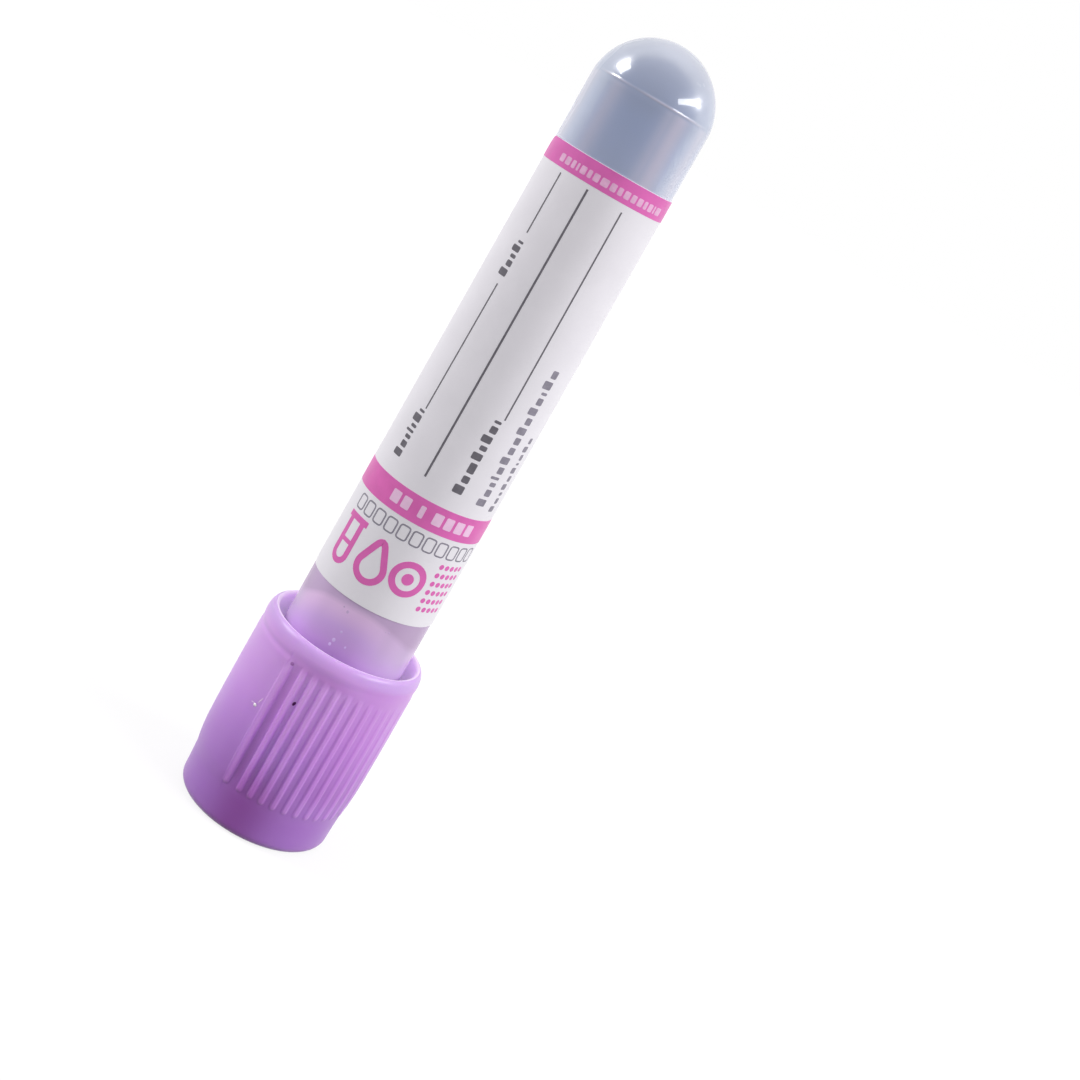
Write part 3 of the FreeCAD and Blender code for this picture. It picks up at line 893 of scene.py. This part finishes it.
def make_shield():
    rim_crest_r, inner_edge = 7.74, 0.34
    bead_height, bead_land, lead_in = 0.3, 0.3, 1.0
    socket_r = HEAD_R + SOCKET_CLEARANCE
    bead_r = socket_r - bead_height
    bead_z = MOUTH_Z + SOCKET_CLEARANCE
    collar_inset = 0.055
    # rows are closer together where the outside bends
    wall_heights = np.concatenate([
        np.arange(END_EDGE + 0.15, 3.9, 0.28), np.arange(3.95, 6.2, 0.15),
        np.arange(6.2, 16.0, 0.4), np.arange(16.0, SHOULDER_Z, 0.15),
    ])
    outside = arc((END_R - END_EDGE, END_EDGE), (END_EDGE, END_EDGE), -90, 0, 10)
    wall_rows = slice(len(outside), len(outside) + len(wall_heights))
    outside += [(END_R, height) for height in wall_heights]
    shoulder = PANEL_R - collar_inset - rim_crest_r, RIM_Z - SHOULDER_Z
    outside += arc((rim_crest_r, SHOULDER_Z), shoulder, 2, 90, SHOULDER_STEPS)
    outside += arc((rim_crest_r, RIM_Z - inner_edge), (rim_crest_r - SKIRT_BORE_R, inner_edge), 97, 180, 7)
    inside = rounded_path([
        (SKIRT_BORE_R, RIM_Z - inner_edge - 0.1, 0),
        (SKIRT_BORE_R, bead_z + lead_in, 0.5),
        (bead_r, bead_z + bead_land, 0.15),
        (bead_r, bead_z, 0.15),
        (socket_r, bead_z - bead_height, 0.1),
        (socket_r, END_WALL, 0.2),
        (WELL_R, END_WALL, 0.1),
        (WELL_R, 0, 0.25),
        (END_R - END_EDGE - 0.02, 0, 0),
    ], closed=False, steps=4)
    section = np.array(outside + inside)
    columns = shield_azimuths()
    a = np.repeat(columns[:, None], len(section), axis=1)
    r = np.repeat(section[None, :, 0], len(columns), axis=0)
    z = np.repeat(section[None, :, 1], len(columns), axis=0)
    r[:, wall_rows] = shield_r(a[:, wall_rows], z[:, wall_rows])
    faces = grid_faces(len(columns), len(section), True, True)
    points = on_ring(a, r, z).reshape(-1, 3)
    piece = make_piece("shield_ribbed", points, faces, "closure", "shield_plastic", SHIELD)
    # The crests' paler tints and the mouth's tints and glow are painted light.
    rib = np.zeros_like(r)
    rib[:, wall_rows] = (rib_share(a, z) * (1 - panel_share(a)))[:, wall_rows]
    # the mouth is all that lies inwards of the rim's crest
    in_mouth = np.broadcast_to(np.arange(len(section)) >= wall_rows.stop + SHOULDER_STEPS, r.shape)
    store(piece, "rib", rib)
    store(piece, "mouth", in_mouth)
    # Painted shade, kept out of the mouth.
    store(piece, "painted_shade", np.where(in_mouth, 0, painted_shade_share(a, z)))
    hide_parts("cap_shield")


def spot_on(surface_r, azimuth, height, across, along, tilt_deg=0, proud=0.03):
    """Small lens-shaped spot on a round wall, across and along being its half sizes."""
    reach, turn = np.meshgrid(np.linspace(0.02, 1, 5), np.radians(np.linspace(0, 360, 21)), indexing="ij")
    tilt = math.radians(tilt_deg)
    u, v = across * reach * np.cos(turn), along * reach * np.sin(turn)
    x, h = u * math.cos(tilt) - v * math.sin(tilt), u * math.sin(tilt) + v * math.cos(tilt)
    z = height + h
    a = azimuth + np.degrees(x / surface_r(azimuth, height))
    wall = surface_r(a, z)
    lens = proud * (1 - reach ** 2)
    root = 0.05
    return slab(on_ring(a, wall + lens, z), on_ring(a, wall - root, z))


def make_marks():
    """The marks that the real shield has: the nick, whose near-white is partly a painted glint, the
    scratch, the speck, and a dimple whose darker colour is painted shade.
    """
    # The nick's near-white colour is partly a painted glint.
    nick = spot_on(shield_r, -28.7, 12.62, 0.19, 0.18, proud=0.10)
    make_piece("shield_nick", *nick, "closure", "shield_plastic", NICK_WITH_PAINTED_GLINT)
    scratch = [
        spot_on(shield_r, -31.0, 12.72, 0.26, 0.05, 8, proud=0.02),
        spot_on(shield_r, -26.6, 13.3, 0.07, 0.40, -20, proud=0.02),
    ]
    make_piece("shield_scratch", *joined(scratch), "closure", "shield_plastic", SCRATCH)
    speck = spot_on(shield_r, -5.4, 15.0, 0.14, 0.24, -20)
    make_piece("shield_speck", *speck, "closure", "shield_plastic", SPECK)
    # The dimple is drawn as a slightly raised spot whose darker colour is painted shade.
    dimple = spot_on(shield_r, -19.6, 18.25, 0.19, 0.19, proud=0.02)
    make_piece("shield_dimple", *dimple, "closure", "shield_plastic", DIMPLE_PAINTED_SHADE)


def tube_side_r(azimuths, heights):
    return tube_r(np.asarray(heights, float)) + 0 * np.asarray(azimuths, float)


def make_droplets():
    """Dried additive near the stopper, drawn on the outside because the neck's haze hides the bore."""
    pale = [(-5.4, 21.85, 0.17), (-6.7, 21.3, 0.14), (6.2, 21.75, 0.10), (-3.0, 22.9, 0.12)]
    dark = [(-11.5, 25.15, 0.08), (-6.7, 24.9, 0.13), (34.0, 24.8, 0.09), (30.5, 24.75, 0.05)]
    for name, places, material in (("additive_droplets", pale, DROPS), ("additive_grains", dark, GRAINS)):
        spots = [spot_on(tube_side_r, a, z, size, size * 1.2, proud=0.01) for a, z, size in places]
        make_piece(name, *joined(spots), "tube", "clear_plastic", material)


make_tube()
make_label()
make_print()
make_stopper()
make_shield()
make_marks()
make_droplets()


# ---- Floor, light and camera -------------------------------------------------------------------------
# Strength of the white backdrop as light; the camera sees it at full strength.
AMBIENT = 0.52
FLOOR_GREY = 0.20
# The floor's own glow as it is seen, beside the object and far from it.
FLOOR_LIFT_NEAR, FLOOR_LIFT_FAR = 0.82, 1.0


def see_only(nodes, links):
    """1 for the camera and for what it sees in gloss or through clear plastic, 0 for light."""
    path = nodes.new("ShaderNodeLightPath")
    total = path.outputs["Is Camera Ray"]
    for ray in ("Is Glossy Ray", "Is Transmission Ray"):
        total = combine(nodes, links, "MAXIMUM", total, path.outputs[ray])
    return total


def make_world():
    world = bpy.data.worlds.new("studio")
    bpy.context.scene.world = world
    world.use_nodes = True
    nodes, links = world.node_tree.nodes, world.node_tree.links
    background = nodes["Background"]
    background.inputs["Color"].default_value = (1, 1, 1, 1)
    strength = map_range(nodes, links, see_only(nodes, links), 0.0, 1.0, AMBIENT, 1.0)
    links.new(strength, background.inputs["Strength"])


def make_floor():
    """Plain pale disc whose paleness grows outwards, so that it runs out into the white backdrop."""
    radius_m, near_m, far_m = 8.0, 0.05, 1.0
    turn = np.radians(np.linspace(0, 360, 65)[:-1])
    edge = np.stack([radius_m * np.sin(turn), radius_m * np.cos(turn), 0 * turn], -1)
    mesh = bpy.data.meshes.new("floor")
    mesh.from_pydata(edge.tolist(), [], [tuple(reversed(range(len(edge))))])
    material, nodes, links, shader = node_material("floor_white")
    shader.inputs["Base Color"].default_value = (FLOOR_GREY, FLOOR_GREY, FLOOR_GREY, 1)
    shader.inputs["Roughness"].default_value = 0.9
    shader.inputs["Specular IOR Level"].default_value = 0.0
    shader.inputs["Emission Color"].default_value = (1, 1, 1, 1)
    where = nodes.new("ShaderNodeTexCoord")
    distance = nodes.new("ShaderNodeVectorMath")
    distance.operation = "LENGTH"
    links.new(where.outputs["Object"], distance.inputs[0])
    lift = nodes.new("ShaderNodeMapRange")
    lift.interpolation_type = "SMOOTHSTEP"
    lift.inputs["From Min"].default_value = near_m
    lift.inputs["From Max"].default_value = far_m
    lift.inputs["To Min"].default_value = FLOOR_LIFT_NEAR
    lift.inputs["To Max"].default_value = FLOOR_LIFT_FAR
    links.new(distance.outputs["Value"], lift.inputs["Value"])
    glow = combine(nodes, links, "MULTIPLY", see_only(nodes, links), lift.outputs["Result"])
    links.new(glow, shader.inputs["Emission Strength"])
    mesh.materials.append(material)
    floor = bpy.data.objects.new("floor", mesh)
    bpy.context.scene.collection.objects.link(floor)


def softbox(name, azimuth, elevation, width_deg, height_deg, level, tilt_deg=0):
    """Lamp seen from the object in a given direction and size; level is what it adds to white paper."""
    distance_m = 1.5
    a, e = math.radians(azimuth), math.radians(elevation)
    direction = Vector((math.sin(a) * math.cos(e), -math.cos(a) * math.cos(e), math.sin(e)))
    light = bpy.data.lights.new(name, "AREA")
    light.shape = "RECTANGLE"
    light.size = 2 * distance_m * math.tan(math.radians(width_deg / 2))
    light.size_y = 2 * distance_m * math.tan(math.radians(height_deg / 2))
    light.energy = level * math.pi ** 2 * distance_m ** 2
    lamp = bpy.data.objects.new(name, light)
    tilt = Matrix.Rotation(math.radians(tilt_deg), 3, "Z")
    aim = (-direction).to_track_quat("-Z", "Y").to_matrix() @ tilt
    lamp.rotation_euler = aim.to_euler()
    lamp.location = Vector((0, 0, TIP_Z * MM)) + direction * distance_m
    lamp.visible_transmission = False
    bpy.context.scene.collection.objects.link(lamp)
    return lamp


def make_lights():
    softbox("left_box", -82, 28, 22, 16, 0.56, tilt_deg=-12)
    softbox("right_box", 75, 34, 46, 9, 0.74, tilt_deg=4)
    softbox("top_box", 170, 70, 40, 40, 0.10).visible_glossy = False


def make_camera():
    """Camera in front of the object, placed by its aim, distance, elevation and roll."""
    distance, elevation, roll = 161.86, math.radians(13.63), math.radians(30.51)
    aim = Vector((11.28, 0, 38.66))
    back = Vector((0, -math.cos(elevation), math.sin(elevation)))
    level = Vector((1, 0, 0))
    up = level.cross(-back)
    right = math.cos(roll) * level + math.sin(roll) * up
    top = -math.sin(roll) * level + math.cos(roll) * up
    camera = bpy.data.cameras.new("camera")
    camera.sensor_width = 36
    camera.lens = 56.93
    camera.clip_start = 0.01
    camera.dof.use_dof = False
    view = bpy.data.objects.new("camera", camera)
    place = Matrix((right, top, back)).transposed().to_4x4()
    place.translation = (aim + back * distance) * MM
    view.matrix_world = place
    bpy.context.scene.collection.objects.link(view)
    bpy.context.scene.camera = view


make_world()
make_floor()
make_lights()
make_camera()
bpy.context.scene.view_settings.view_transform = "Standard"
